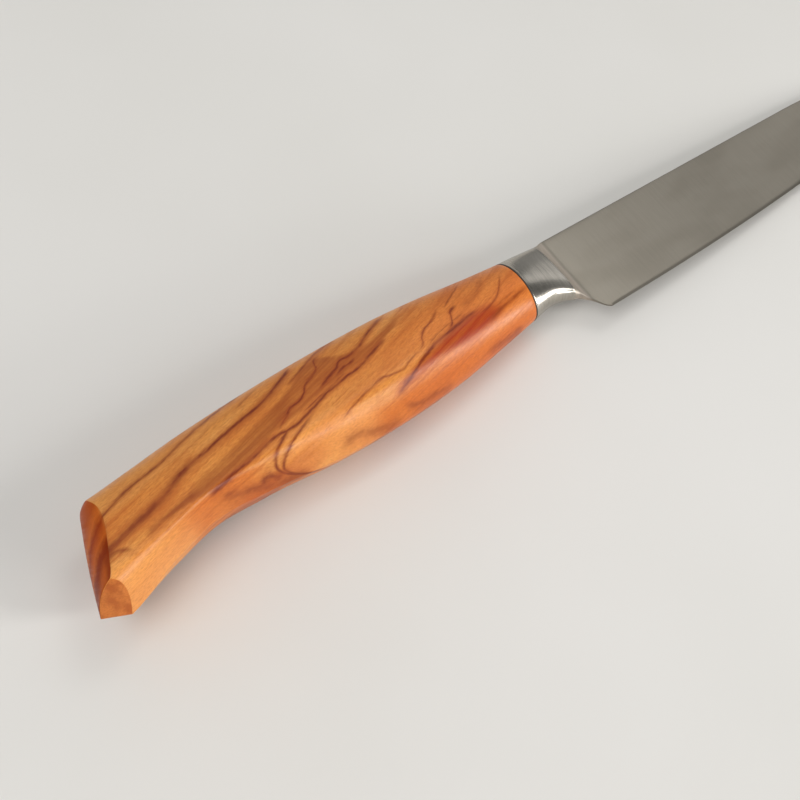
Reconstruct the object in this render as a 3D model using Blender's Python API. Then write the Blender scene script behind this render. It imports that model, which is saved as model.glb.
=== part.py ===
"""A forged paring knife with a one-piece olive wood handle, lying on its side.

Units are metres. The knife is modelled in its own straight frame and then laid down:
X runs to the tip, with 0 where the blade leaves the bolster; Y runs from the edge to the
spine, with 0 on the line of the spine; Z crosses the blade, with 0 on its middle plane.
"""

import math

import bmesh
import bpy
import numpy as np
from mathutils import Matrix, Vector

# Blade
BLADE_LENGTH = 0.100
BLADE_HEIGHT = 0.0192
SPINE_THICKNESS = 0.0020
TIP_THICKNESS = 0.0007
TIP_HEIGHT = 0.0006
EDGE_THICKNESS = 0.00035
EDGE_LAND = 0.00008
EDGE_BEVEL_HEIGHT = 0.0005
SPINE_ROUNDING = 0.00022
TIP_DROP = 0.0024
SPINE_DROP_LENGTH = 0.026
EDGE_RISE = 0.0055
BELLY_LENGTH = 0.042
HEEL_SETBACK = 0.0031

# Bolster, forged in one piece with the blade
BOLSTER_LENGTH = 0.0118
JOINT_HEIGHT = 0.0136
JOINT_WIDTH = 0.0109
JOINT_CROWN = 0.00035
BOLSTER_WAIST_DEPTH = 0.0124
BOLSTER_FRONT_DEPTH = 0.0136
BOLSTER_FRONT_WIDTH = 0.0050
SPINE_STEP = 0.0002
RAMP_LENGTH = 0.0022
RAMP_RUNOUT = 0.0008
RAMP_FOOT_DEPTH = 0.0158

# Tang, the hidden part of the forging
TANG_LENGTH = 0.062
TANG_HEIGHT = 0.0060
TANG_END_HEIGHT = 0.0050
TANG_THICKNESS = 0.0028
TANG_NOTCHES = 4
TANG_NOTCH_DEPTH = 0.0007
TANG_NOTCH_LENGTH = 0.0035

# Adhesive bed round the tang, with the dark film that shows at the joint
JOINT_FILM = 0.00022
BED_WALL = 0.0007
FIT_GAP = 0.0003
FILM_GAP = 0.00003

# Handle
HANDLE_LENGTH = 0.0985
SWELL_HEIGHT = 0.01985
SWELL_WIDTH = 0.0162
SWELL_RISE = 0.00227
NECK_HEIGHT = 0.0161
NECK_WIDTH = 0.0147
NECK_RISE = 0.00065
POMMEL_HEIGHT = 0.0200
POMMEL_WIDTH = 0.0159
POMMEL_DROP = 0.00174
KEEL_FULLNESS = 1.05
REST_LAND_DEPTH = 0.00015

# End of the handle
TOE_DEPTH = 0.01996
BUTT_LEAN = math.radians(19.3)
BUTT_TOE_RADIUS = 0.0125
BUTT_SPINE_RADIUS = 0.0070
BUTT_BULGE = 0.00026
BUTT_TOP_ROUNDING = 0.0026
TOE_KEEL_RISE = math.radians(24.4)
TOE_FACET_LEAN = math.radians(24.4)

# Fineness of the facets
RING_POINTS = 44
HANDLE_RINGS = 46
BLADE_RINGS = 30
BOLSTER_RINGS = 14
ARC_STEPS = 20
SHARP_FROM = math.radians(30)

# Size of the blocks that cut a flat
CUT_BLOCK = 0.5

PARTS = "paring_knife"
CUTTERS = "paring_knife_cutters"


def clear_scene():
    for obj in list(bpy.data.objects):
        bpy.data.objects.remove(obj, do_unlink=True)


def new_collection(name):
    collection = bpy.data.collections.new(name)
    bpy.context.scene.collection.children.link(collection)
    return collection


def material(name, colour, roughness, metallic=0.0):
    made = bpy.data.materials.new(name)
    made.use_nodes = True
    shader = made.node_tree.nodes["Principled BSDF"]
    shader.inputs["Base Color"].default_value = (*colour, 1.0)
    shader.inputs["Roughness"].default_value = roughness
    shader.inputs["Metallic"].default_value = metallic
    made.diffuse_color = (*colour, 1.0)
    return made


def object_from(name, mesh_data, collection):
    mesh = bpy.data.meshes.new(name)
    bmesh.ops.recalc_face_normals(mesh_data, faces=mesh_data.faces)
    mesh_data.to_mesh(mesh)
    mesh_data.free()
    obj = bpy.data.objects.new(name, mesh)
    collection.objects.link(obj)
    return obj


def cutter_from(name, mesh_data, collection):
    obj = object_from(name, mesh_data, collection)
    obj.hide_render = True
    obj.display_type = "WIRE"
    return obj


def boolean(target, other, operation):
    modifier = target.modifiers.new(f"{operation.lower()}_{other.name}", "BOOLEAN")
    modifier.operation = operation
    modifier.object = other
    modifier.solver = "EXACT"


def loft(rings):
    """A closed skin over rings of the same number of points, with flat ends."""
    skin = bmesh.new()
    loops = [[skin.verts.new(point) for point in ring] for ring in rings]
    for near, far in zip(loops[:-1], loops[1:]):
        for i in range(len(near)):
            j = (i + 1) % len(near)
            skin.faces.new((near[i], near[j], far[j], far[i]))
    skin.faces.new(reversed(loops[0]))
    skin.faces.new(loops[-1])
    return skin


def prism(outline, sweep):
    """A flat outline swept by a vector."""
    solid = bmesh.new()
    face = solid.faces.new([solid.verts.new(point) for point in outline])
    swept = bmesh.ops.extrude_face_region(solid, geom=[face])["geom"]
    moved = [item for item in swept if isinstance(item, bmesh.types.BMVert)]
    bmesh.ops.translate(solid, verts=moved, vec=sweep)
    return solid


def half_space(point, outward):
    """A block whose one face passes through a point, for cutting all that lies beyond it."""
    block = bmesh.new()
    bmesh.ops.create_cube(block, size=CUT_BLOCK)
    outward = Vector(outward).normalized()
    turn = outward.to_track_quat("Z", "Y").to_matrix().to_4x4()
    place = Matrix.Translation(Vector(point) + outward * (CUT_BLOCK / 2))
    bmesh.ops.transform(block, matrix=place @ turn, verts=block.verts)
    return block


def mix(start, end, share):
    return start + (end - start) * share


def smooth_curve(knots, values, at):
    """Cubic curve through the values at the knots, with a slope taken from the neighbours."""
    knots, values, at = (np.asarray(a, float) for a in (knots, values, at))
    slopes = np.gradient(values, knots)
    cell = np.clip(np.searchsorted(knots, at, side="right") - 1, 0, len(knots) - 2)
    span = knots[cell + 1] - knots[cell]
    t = (at - knots[cell]) / span
    return (
        values[cell] * (2 * t**3 - 3 * t**2 + 1)
        + slopes[cell] * span * (t**3 - 2 * t**2 + t)
        + values[cell + 1] * (3 * t**2 - 2 * t**3)
        + slopes[cell + 1] * span * (t**3 - t**2)
    )


def oval(x, top, bottom, widest, half_width, above=(2.0, 2.0), below=(2.0, 2.0)):
    """A ring across the knife: two half ovals that meet at the widest height.

    Each half has a fullness in height and in width: 2 is round, more is squarer, and a
    width fullness near 1 makes the half run to a keel."""
    ring = []
    for step in range(RING_POINTS):
        angle = 2 * math.pi * step / RING_POINTS
        upward, sideways = math.cos(angle), math.sin(angle)
        in_height, in_width = above if upward >= 0 else below
        reach = top - widest if upward >= 0 else widest - bottom
        y = widest + reach * math.copysign(abs(upward) ** (2 / in_height), upward)
        z = half_width * math.copysign(abs(sideways) ** (2 / in_width), sideways)
        ring.append((x, y, z))
    return ring


# Blade


def spine_line(x):
    """Straight for most of its length, with a slow fall to the tip and a rise out of the bolster."""
    if x < 0:
        return -4 * SPINE_STEP * (x / RAMP_LENGTH) ** 2
    past = max(0.0, x - (BLADE_LENGTH - SPINE_DROP_LENGTH)) / SPINE_DROP_LENGTH
    return -TIP_DROP * past**2


def edge_line(x):
    """The edge rises slowly from the heel and then sweeps up to meet the spine at the tip."""
    along = max(0.0, x - HEEL_SETBACK) / (BLADE_LENGTH - HEEL_SETBACK)
    sweep = max(0.0, x - (BLADE_LENGTH - BELLY_LENGTH)) / BELLY_LENGTH
    tip_rise = BLADE_HEIGHT - TIP_DROP - EDGE_RISE
    return -BLADE_HEIGHT + EDGE_RISE * along**2.2 + tip_rise * sweep**2.5


def blade_ring(x):
    """Across the blade: a rounded spine, two flat faces and the small bevel of the edge."""
    top = spine_line(x)
    height = max(top - edge_line(x), TIP_HEIGHT)
    bottom = top - height
    thickness = mix(SPINE_THICKNESS, TIP_THICKNESS, max(0.0, x) / BLADE_LENGTH)
    shoulder = mix(EDGE_THICKNESS, thickness, 0.35 * (1 - height / BLADE_HEIGHT))
    bevel = min(EDGE_BEVEL_HEIGHT, height * 0.4)
    rounding = min(SPINE_ROUNDING, height * 0.2)
    corner = rounding * (1 - math.sqrt(0.5))
    half = [
        (top, thickness / 2 - rounding),
        (top - corner, thickness / 2 - corner),
        (top - rounding, thickness / 2),
        (bottom + bevel, shoulder / 2),
        (bottom, EDGE_LAND / 2),
    ]
    near = [(x, y, z) for y, z in half]
    far = [(x, y, -z) for y, z in reversed(half)]
    return near + far


def blade_blank(collection):
    """Rings from inside the bolster to the tip, closer together where the outline turns."""
    start = -RAMP_LENGTH * 0.55
    share = np.linspace(0, 1, BLADE_RINGS)
    stations = BLADE_LENGTH * (1 - (1 - share) ** 1.5)
    return object_from("blade", loft([blade_ring(x) for x in (start, *stations)]), collection)


def choil_cutter(collection):
    """What the grinding takes off behind the heel, up to where the blade leaves the bolster."""
    line = [(-0.42, 0.724), (-0.23, 0.766), (0.26, 0.865), (0.68, 0.969), (1.0, 1.004)]
    below = 1.5
    outline = [*line, (line[-1][0], below), (line[0][0], below)]
    corners = [(x * HEEL_SETBACK, -y * BLADE_HEIGHT, -SPINE_THICKNESS) for x, y in outline]
    return cutter_from("choil_cutter", prism(corners, (0, 0, 2 * SPINE_THICKNESS)), collection)


# Bolster and tang


def joint_bottom():
    return JOINT_CROWN - JOINT_HEIGHT


def ramp_ring(x, bottom, rise):
    """The front oval let down towards the tapering faces of the blade, and into them at no rise."""
    ring = []
    square = (3.2, 3.2)
    front = oval(x, -SPINE_STEP, bottom, bottom / 2, BOLSTER_FRONT_WIDTH / 2, square, square)
    for _, y, z in front:
        face = mix(SPINE_THICKNESS, EDGE_THICKNESS, -y / BLADE_HEIGHT) / 2
        half = min(abs(z), face * 0.7) + max(0.0, abs(z) - face) * rise
        ring.append((x, y, math.copysign(half, z)))
    return ring


def bolster_rings():
    """From the oval of the joint to the squarer front, and down the ramp onto the blade."""
    rear, front = -BOLSTER_LENGTH, -RAMP_LENGTH
    knots = [rear, rear / 2, front, RAMP_RUNOUT]
    depths = [-joint_bottom(), BOLSTER_WAIST_DEPTH, BOLSTER_FRONT_DEPTH, RAMP_FOOT_DEPTH]
    rings = []
    for x in np.linspace(rear, front, BOLSTER_RINGS):
        share = (x - rear) / (front - rear)
        top = mix(JOINT_CROWN, -SPINE_STEP, share)
        bottom = -float(smooth_curve(knots, depths, x))
        half = mix(JOINT_WIDTH, BOLSTER_FRONT_WIDTH, share**0.8) / 2
        fullness = (mix(2.0, 3.2, share),) * 2
        rings.append(oval(x, top, bottom, (top + bottom) / 2, half, fullness, fullness))
    for x, rise in ((front / 2, 0.35), (RAMP_RUNOUT, 0.0)):
        rings.append(ramp_ring(x, -float(smooth_curve(knots, depths, x)), rise))
    return rings


def tang_half_height(behind):
    return mix(TANG_HEIGHT, TANG_END_HEIGHT, behind / TANG_LENGTH) / 2


def tang_edge():
    """One long edge of the tang, with notches that key it into the adhesive."""
    points = [(-BOLSTER_LENGTH / 2, TANG_HEIGHT / 2)]
    pitch = TANG_LENGTH / (TANG_NOTCHES + 1)
    for notch in range(1, TANG_NOTCHES + 1):
        behind = pitch * notch
        half = tang_half_height(behind)
        middle = -BOLSTER_LENGTH - behind
        points.append((middle + TANG_NOTCH_LENGTH / 2, half))
        points.append((middle, half - TANG_NOTCH_DEPTH))
        points.append((middle - TANG_NOTCH_LENGTH / 2, half))
    points.append((-BOLSTER_LENGTH - TANG_LENGTH, TANG_END_HEIGHT / 2))
    return points


def tang_form(collection):
    middle = JOINT_CROWN - JOINT_HEIGHT / 2
    upper = [(x, middle + y, -TANG_THICKNESS / 2) for x, y in tang_edge()]
    lower = [(x, middle - y, -TANG_THICKNESS / 2) for x, y in reversed(tang_edge())]
    return cutter_from("tang_form", prism(upper + lower, (0, 0, TANG_THICKNESS)), collection)


def forging(parts, cutters):
    """Blade, bolster and tang as one piece of steel."""
    blade = blade_blank(parts)
    boolean(blade, choil_cutter(cutters), "DIFFERENCE")
    boolean(blade, cutter_from("bolster_form", loft(bolster_rings()), cutters), "UNION")
    boolean(blade, tang_form(cutters), "UNION")
    return blade


# Bore and adhesive


def bore_form(grown, mouth):
    """A plain tapered slot round the tang, opening at a place along the knife."""
    middle = JOINT_CROWN - JOINT_HEIGHT / 2
    half = TANG_THICKNESS / 2 + grown
    rear = -BOLSTER_LENGTH - TANG_LENGTH - grown
    front_height, rear_height = TANG_HEIGHT / 2 + grown, TANG_END_HEIGHT / 2 + grown
    corners = [(mouth, front_height), (mouth, -front_height), (rear, -rear_height), (rear, rear_height)]
    return prism([(x, middle + y, -half) for x, y in corners], (0, 0, 2 * half))


def joint_oval(x):
    middle = (JOINT_CROWN + joint_bottom()) / 2
    return oval(x, JOINT_CROWN, joint_bottom(), middle, JOINT_WIDTH / 2)


def adhesive(parts, cutters):
    """The cured bed: a sleeve that lines the bore and a film that fills the joint face."""
    face = -BOLSTER_LENGTH - FILM_GAP
    bed = object_from("adhesive_bed", loft([joint_oval(face), joint_oval(face - JOINT_FILM)]), parts)
    sleeve = bore_form(FIT_GAP + BED_WALL, face - JOINT_FILM / 2)
    hollow = bore_form(FIT_GAP, -BOLSTER_LENGTH / 2)
    boolean(bed, cutter_from("sleeve_form", sleeve, cutters), "UNION")
    boolean(bed, cutter_from("tang_clearance", hollow, cutters), "DIFFERENCE")
    return bed


# Handle


def handle_stations():
    """Share of the length, spine, height, half width and where down the height it is widest."""
    start, wide, slim, end = JOINT_WIDTH / 2, SWELL_WIDTH / 2, NECK_WIDTH / 2, POMMEL_WIDTH / 2
    joint, swell, neck, pommel = JOINT_HEIGHT, SWELL_HEIGHT, NECK_HEIGHT, POMMEL_HEIGHT
    crown, rise, low = JOINT_CROWN, SWELL_RISE, NECK_RISE
    return [
        (0.000, crown, joint, start, 0.50),
        (0.083, mix(crown, rise, 0.23), mix(joint, swell, 0.29), mix(start, wide, 0.44), 0.56),
        (0.205, mix(crown, rise, 0.74), mix(joint, swell, 0.75), mix(start, wide, 0.82), 0.62),
        (0.348, rise, swell, wide, 0.68),
        (0.490, mix(rise, low, 0.07), mix(swell, neck, 0.04), mix(wide, slim, 0.17), 0.73),
        (0.642, mix(rise, low, 0.48), mix(swell, neck, 0.65), mix(wide, slim, 0.80), 0.81),
        (0.742, low, neck, slim, 0.85),
        (0.834, mix(low, -POMMEL_DROP, 0.49), mix(neck, pommel, 0.25), mix(slim, end, 0.5), 0.857),
        (0.942, -POMMEL_DROP, pommel, end, 0.741),
        (1.080, -POMMEL_DROP * 1.08, pommel * 1.125, end, 0.605),
    ]


def handle_form():
    shares, tops, heights, halves, widest = zip(*handle_stations())
    start = -BOLSTER_LENGTH - 2 * FILM_GAP - JOINT_FILM
    rings = []
    for share in np.linspace(0, shares[-1], HANDLE_RINGS):
        top, height, half, ridge = (
            float(smooth_curve(shares, values, share)) for values in (tops, heights, halves, widest)
        )
        above = (mix(2.0, 2.7, min(1.0, share / 0.3)),) * 2
        below = (2.0, mix(2.0, KEEL_FULLNESS, min(1.0, share / 0.6)))
        x = start - share * HANDLE_LENGTH
        rings.append(oval(x, top, top - height, top - height * ridge, half, above, below))
    return loft(rings)


def toe_point():
    return Vector((-BOLSTER_LENGTH - HANDLE_LENGTH, -TOE_DEPTH, 0))


def butt_ring(base, inward, radius):
    """A block behind the end face, hollowed by the arc that the end face follows."""
    centre = base + inward * radius
    across = Vector((0, 0, radius))
    ring = []
    for step in range(ARC_STEPS + 1):
        angle = math.pi * step / ARC_STEPS
        ring.append(centre + across * math.cos(angle) - inward * radius * math.sin(angle))
    outer = Vector((0, 0, 2 * BUTT_TOE_RADIUS))
    behind = base - inward * POMMEL_HEIGHT
    return ring + [centre - outer, behind - outer, behind + outer, centre + outer]


def butt_axes():
    """Directions up the leaning end face and into the wood."""
    lean_sine, lean_cosine = math.sin(BUTT_LEAN), math.cos(BUTT_LEAN)
    return Vector((lean_sine, lean_cosine, 0)), Vector((lean_cosine, -lean_sine, 0))


def spine_over_butt():
    """How far up the end face the spine passes it, and the spine's rise on its way inwards."""
    along, inward = butt_axes()
    shares, tops, *_ = zip(*handle_stations())
    places = []
    for share in (0.90, 0.94):
        x = -BOLSTER_LENGTH - 2 * FILM_GAP - JOINT_FILM - share * HANDLE_LENGTH
        point = Vector((x, float(smooth_curve(shares, tops, share)), 0)) - toe_point()
        places.append((point.dot(along), point.dot(inward)))
    (near_up, near_in), (far_up, far_in) = places
    rise = (near_up - far_up) / (near_in - far_in)
    return near_up - rise * near_in, rise


def end_profile():
    """Places up the end face, and how far it is set in at each: a slight bulge, then an arc
    that runs into the spine."""
    reach, rise = spine_over_butt()
    turn = math.atan(1 / rise)
    arc_depth = BUTT_TOP_ROUNDING * (1 - math.cos(turn))
    start = reach + rise * arc_depth - BUTT_TOP_ROUNDING * math.sin(turn)
    profile = [(-0.4 * TOE_DEPTH, 0.0)]
    for part in np.linspace(0, 1, 7):
        profile.append((part * start, -BUTT_BULGE * math.sin(math.pi * part)))
    for angle in np.linspace(0, turn, 5)[1:]:
        up = start + BUTT_TOP_ROUNDING * math.sin(angle)
        profile.append((up, BUTT_TOP_ROUNDING * (1 - math.cos(angle))))
    profile.append((1.4 * TOE_DEPTH, arc_depth))
    return profile


def butt_cutter(collection):
    """What is taken off behind the leaning end face, crowned tighter towards the spine."""
    along, inward = butt_axes()
    rings = []
    for up, setback in end_profile():
        base = toe_point() + along * up + inward * setback
        rings.append(butt_ring(base, inward, mix(BUTT_TOE_RADIUS, BUTT_SPINE_RADIUS, up / TOE_DEPTH)))
    return cutter_from("butt_cutter", loft(rings), collection)


def toe_cutter(side, collection):
    """One of the two chamfers that meet in the keel under the toe."""
    down = Vector((-math.sin(TOE_KEEL_RISE), -math.cos(TOE_KEEL_RISE), 0))
    outward = down * math.cos(TOE_FACET_LEAN) + Vector((0, 0, side * math.sin(TOE_FACET_LEAN)))
    return cutter_from("toe_cutter", half_space(toe_point(), outward), collection)


def rest_slope():
    """Slope of the floor against the knife, lying on its cheek and its tip."""
    shares, _, _, halves, _ = zip(*handle_stations())
    at = np.linspace(0, 0.9, 200)
    half = smooth_curve(shares, halves, at)
    run = BLADE_LENGTH + BOLSTER_LENGTH + at * HANDLE_LENGTH
    touch = int(np.argmax((half - TIP_THICKNESS / 2) / run))
    return (half[touch] - REST_LAND_DEPTH - TIP_THICKNESS / 2) / run[touch]


def land_cutter(side, collection):
    """The small flat on one cheek, in the plane that the knife lies on."""
    tip = (BLADE_LENGTH, 0, side * TIP_THICKNESS / 2)
    return cutter_from("land_cutter", half_space(tip, (rest_slope(), 0, side)), collection)


def handle(parts, cutters):
    wood = object_from("handle", handle_form(), parts)
    boolean(wood, butt_cutter(cutters), "DIFFERENCE")
    for side in (1, -1):
        boolean(wood, toe_cutter(side, cutters), "DIFFERENCE")
        boolean(wood, land_cutter(side, cutters), "DIFFERENCE")
    bore = bore_form(2 * FIT_GAP + BED_WALL, -BOLSTER_LENGTH / 2)
    boolean(wood, cutter_from("tang_bore", bore, cutters), "DIFFERENCE")
    return wood


# Assembly


def world_points(obj):
    graph = bpy.context.evaluated_depsgraph_get()
    evaluated = obj.evaluated_get(graph)
    mesh = evaluated.to_mesh()
    points = np.array([evaluated.matrix_world @ vertex.co for vertex in mesh.vertices])
    evaluated.to_mesh_clear()
    return points


def lay_down(parts, cutters):
    """Turns the knife onto its cheek and tip, with the origin under the middle of its box."""
    pieces = list(parts.objects)
    stand = bpy.data.objects.new("rest_frame", None)
    parts.objects.link(stand)
    for obj in (*pieces, *cutters.objects):
        obj.parent = stand
    stand.rotation_euler.y = math.atan(rest_slope())
    bpy.context.view_layer.update()
    points = np.concatenate([world_points(obj) for obj in pieces])
    low, high = points.min(axis=0), points.max(axis=0)
    stand.location = (-(low[0] + high[0]) / 2, -(low[1] + high[1]) / 2, -low[2])
    bpy.context.view_layer.update()


def finish(obj, look):
    obj.data.materials.append(look)
    obj.data.shade_smooth()
    obj.data.set_sharp_from_angle(angle=SHARP_FROM)


def main():
    clear_scene()
    parts, cutters = new_collection(PARTS), new_collection(CUTTERS)
    finish(forging(parts, cutters), material("satin_steel", (0.42, 0.41, 0.39), 0.32, 1.0))
    finish(adhesive(parts, cutters), material("cured_adhesive", (0.03, 0.022, 0.018), 0.6))
    finish(handle(parts, cutters), material("olive_wood", (0.55, 0.26, 0.10), 0.38))
    lay_down(parts, cutters)


main()
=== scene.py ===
import math

import bpy
import bmesh
import numpy as np
from mathutils import Matrix, Vector


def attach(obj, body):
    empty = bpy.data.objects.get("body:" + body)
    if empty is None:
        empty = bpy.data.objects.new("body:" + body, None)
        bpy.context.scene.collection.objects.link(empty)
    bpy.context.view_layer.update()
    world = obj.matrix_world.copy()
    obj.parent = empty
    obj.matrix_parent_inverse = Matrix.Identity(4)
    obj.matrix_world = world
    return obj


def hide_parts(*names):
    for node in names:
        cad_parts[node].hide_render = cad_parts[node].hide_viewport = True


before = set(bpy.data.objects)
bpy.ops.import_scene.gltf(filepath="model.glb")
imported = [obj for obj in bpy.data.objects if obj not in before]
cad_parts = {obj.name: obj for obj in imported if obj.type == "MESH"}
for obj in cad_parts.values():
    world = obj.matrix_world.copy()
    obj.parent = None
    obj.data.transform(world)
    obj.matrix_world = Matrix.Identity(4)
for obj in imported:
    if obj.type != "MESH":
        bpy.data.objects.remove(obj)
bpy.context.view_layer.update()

# The knife is modelled straight, edge down: X to the tip with 0 at the front of the bolster, Y
# from edge to spine with 0 on the spine, Z across. It is then laid down. Sizes are in metres.

BLADE_LENGTH = 0.100
BLADE_HEIGHT = 0.0192
SPINE_THICKNESS = 0.0020
TIP_THICKNESS = 0.0007
TIP_HEIGHT = 0.0006
EDGE_THICKNESS = 0.00035
EDGE_LAND = 0.00008
EDGE_BEVEL_HEIGHT = 0.0005
CHOIL_CORNER_HEIGHT = 0.00012
CHOIL_CORNER_WIDTH = 0.00008
SPINE_ROUNDING = 0.00022
TIP_DROP = 0.0024
SPINE_DROP_LENGTH = 0.026
EDGE_RISE = 0.0055
BELLY_LENGTH = 0.042
HEEL_SETBACK = 0.0031

BOLSTER_LENGTH = 0.0118
JOINT_HEIGHT = 0.0136
JOINT_WIDTH = 0.0109
JOINT_CROWN = 0.00035
BOLSTER_WAIST_DEPTH = 0.0124
BOLSTER_FRONT_DEPTH = 0.0136
BOLSTER_FRONT_WIDTH = 0.0050
SPINE_STEP = 0.0002
RAMP_LENGTH = 0.0022
RAMP_RUNOUT = 0.0008
RAMP_FOOT_DEPTH = 0.0158

TANG_LENGTH = 0.062
TANG_HEIGHT = 0.0060
TANG_END_HEIGHT = 0.0050
TANG_THICKNESS = 0.0028
TANG_NOTCHES = 4
TANG_NOTCH_DEPTH = 0.0007
TANG_NOTCH_LENGTH = 0.0035

JOINT_FILM = 0.00022
FILM_GAP = 0.00003
BORE_WALL = 0.0013
JOINT_MIDDLE = JOINT_CROWN - JOINT_HEIGHT / 2
WOOD_FRONT = -BOLSTER_LENGTH - 2 * FILM_GAP - JOINT_FILM

HANDLE_LENGTH = 0.0985
SWELL_HEIGHT = 0.01985
SWELL_WIDTH = 0.0162
SWELL_RISE = 0.00227
NECK_HEIGHT = 0.0161
NECK_WIDTH = 0.0147
NECK_RISE = 0.00065
POMMEL_HEIGHT = 0.0200
POMMEL_WIDTH = 0.0159
POMMEL_DROP = 0.00174
KEEL_FULLNESS = 1.05

TOE_DEPTH = 0.01996
BUTT_LEAN = math.radians(19.3)
BUTT_TOE_RADIUS = 0.0125
BUTT_SPINE_RADIUS = 0.0070
BUTT_BULGE = 0.00026
BUTT_TOP_ROUNDING = 0.0026
TOE_KEEL_RISE = math.radians(24.4)
TOE_FACET_LEAN = math.radians(24.4)

# How far each kind of arris is eased
BUTT_EASING = 0.0003
JOINT_EASING = 0.00012
RAMP_EASING = 0.0001
BOLSTER_EASING = 0.00008

# Folds of the wood's surface that count as arrises, and folds that are still shaded smooth
BUTT_FOLD = math.radians(24)
JOINT_FOLD = math.radians(40)
WOOD_SMOOTHING = math.radians(34)
STEEL_SMOOTHING = math.radians(30)

# The bars that handle and forging are shaped from
WOOD_STOCK_RADIUS = 0.010
STEEL_STOCK_RADIUS = 0.008
STEEL_STOCK_LENGTH = 0.112

# The turn and place that lay the knife down on its cheek and its tip
REST_TURN = math.radians(3.0911)
REST_PLACE = Vector((0.00513307, 0.00984926, 0.00574189))


def mix(start, end, share):
    return start + (end - start) * share


def smooth_curve(knots, values, at):
    """Cubic curve through the values at the knots, with a slope taken from the neighbours."""
    knots, values, at = (np.asarray(a, float) for a in (knots, values, at))
    slopes = np.gradient(values, knots)
    cell = np.clip(np.searchsorted(knots, at, side="right") - 1, 0, len(knots) - 2)
    span = knots[cell + 1] - knots[cell]
    t = (at - knots[cell]) / span
    return (
        values[cell] * (2 * t**3 - 3 * t**2 + 1)
        + slopes[cell] * span * (t**3 - 2 * t**2 + t)
        + values[cell + 1] * (3 * t**2 - 2 * t**3)
        + slopes[cell + 1] * span * (t**3 - t**2)
    )


# Bench work: small steps that every piece shares


def take(obj):
    """Makes one object the selected and active one."""
    bpy.ops.object.select_all(action="DESELECT")
    obj.select_set(True)
    bpy.context.view_layer.objects.active = obj


def fix_place():
    bpy.ops.object.transform_apply(location=True, rotation=True, scale=True)


def edit_mesh(obj):
    bpy.ops.object.mode_set(mode="EDIT")
    bpy.ops.mesh.select_mode(type="VERT")
    return bmesh.from_edit_mesh(obj.data)


def leave_edit():
    bpy.ops.object.mode_set(mode="OBJECT")


def pick(obj, kind, wanted):
    """Selects, in edit mode, the edges or faces for which a rule holds."""
    bpy.ops.mesh.select_mode(type=kind)
    bpy.ops.mesh.select_all(action="DESELECT")
    mesh = bmesh.from_edit_mesh(obj.data)
    for item in mesh.edges if kind == "EDGE" else mesh.faces:
        item.select = wanted(item)
    bmesh.update_edit_mesh(obj.data)


def ease(offset, segments, clamp=False):
    """Rounds the picked edges."""
    bpy.ops.mesh.bevel(
        offset=offset, segments=segments, profile=0.5, affect="EDGES", clamp_overlap=clamp
    )


def round_bar(name, points, rings, start, end, radius):
    """A closed bar along X, divided into rings: the stock that a long piece is shaped from."""
    bpy.ops.object.select_all(action="DESELECT")
    bpy.ops.mesh.primitive_cylinder_add(
        vertices=points,
        radius=radius,
        depth=abs(end - start),
        end_fill_type="NGON",
        location=((start + end) / 2, 0, 0),
        rotation=(0, math.pi / 2, 0),
    )
    bar = bpy.context.object
    bar.name = bar.data.name = name
    fix_place()
    edit_mesh(bar)
    half_length = abs(end - start) / 2
    pick(bar, "EDGE", lambda edge: abs(edge.verts[0].co.x - edge.verts[1].co.x) > half_length)
    bpy.ops.mesh.subdivide(number_cuts=rings - 1)
    leave_edit()
    return bar


def inset_end(bar, end, times, step):
    """Divides the flat end of a bar into rings round a last small face."""
    at_end = lambda vertex: abs(vertex.co.x - end) < 1e-6
    edit_mesh(bar)
    pick(bar, "FACE", lambda face: all(map(at_end, face.verts)) and len(face.verts) > 4)
    for _ in range(times):
        bpy.ops.mesh.inset(thickness=step, use_even_offset=False)
    leave_edit()


def round_the_bar(vertex, half):
    """Signed turn of a point of a bar, -1 to 1 from the top, and its number down that side."""
    turn = math.atan2(vertex.co.z, vertex.co.y) / math.pi
    return turn, min(half, round(abs(turn) * half))


def square_bar(name, front, rear, front_half, rear_half, width_half):
    """A tapered bar for a bore or a tang: a cube drawn out along X and narrowed at its far end."""
    bpy.ops.object.select_all(action="DESELECT")
    bpy.ops.mesh.primitive_cube_add(size=1, location=((front + rear) / 2, JOINT_MIDDLE, 0))
    bar = bpy.context.object
    bar.name = bar.data.name = name
    bar.scale = (front - rear, 2 * front_half, 2 * width_half)
    fix_place()
    edit_mesh(bar)
    pick(bar, "FACE", lambda face: face.normal.x < -0.9)
    bpy.ops.transform.resize(
        value=(1, rear_half / front_half, 1), center_override=(rear, JOINT_MIDDLE, 0)
    )
    leave_edit()
    return bar


def combine(piece, other, operation):
    """Cuts a piece with another body or unites the two; the other is used up."""
    take(piece)
    modifier = piece.modifiers.new(operation.lower(), "BOOLEAN")
    modifier.operation = operation
    modifier.object = other
    modifier.solver = "EXACT"
    bpy.ops.object.modifier_apply(modifier=modifier.name)
    bpy.data.objects.remove(other, do_unlink=True)


def lay_down(piece):
    """Turns the finished piece onto its cheek, with its place left in its mesh."""
    take(piece)
    piece.rotation_euler.y = REST_TURN
    piece.location = REST_PLACE
    fix_place()


def smooth_faces(piece, angle):
    """Shades the piece smooth wherever it folds by less than an angle."""
    take(piece)
    bpy.ops.object.shade_smooth_by_angle(angle=angle)


# Handle

SIDE_ABOVE = 30  # points from the spine to the ridge of the cheek
SIDE_BELOW = 20  # points from the ridge to the keel
HANDLE_RINGS = 84
BUTT_RINGS = 24


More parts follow.
